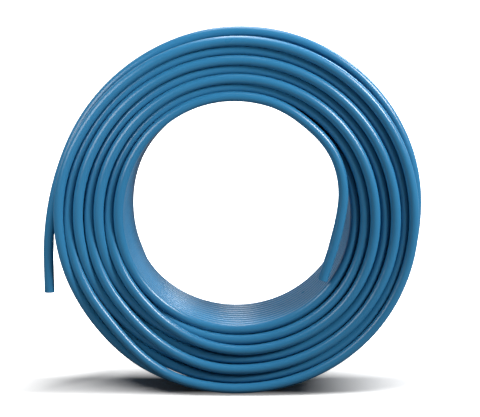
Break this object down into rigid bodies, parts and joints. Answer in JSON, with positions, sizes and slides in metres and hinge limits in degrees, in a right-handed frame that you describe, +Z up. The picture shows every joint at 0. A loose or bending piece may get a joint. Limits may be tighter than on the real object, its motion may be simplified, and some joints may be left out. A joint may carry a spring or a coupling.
{
  "type": "coil of heating pipe",
  "caption": "Coil of plastic heating pipe wound in close layers round an open bore, standing on its rim, with two free pipe ends.",
  "frame": {"origin": "middle of the coil's axis, halfway through its width", "axes": "+Z up, front face with the free ends towards -Y, +X to the right seen from the front; the coil stands on its rim and its axis tips 5.7 degrees, so the top leans back"},
  "size_m": [0.5958, 0.2455, 0.5799],
  "materials": {
    "pipe_blue": "satin blue polyethylene"
  },
  "bodies": {
    "root": {"pipe_coil": "pipe_blue"}
  },
  "joints": []
}
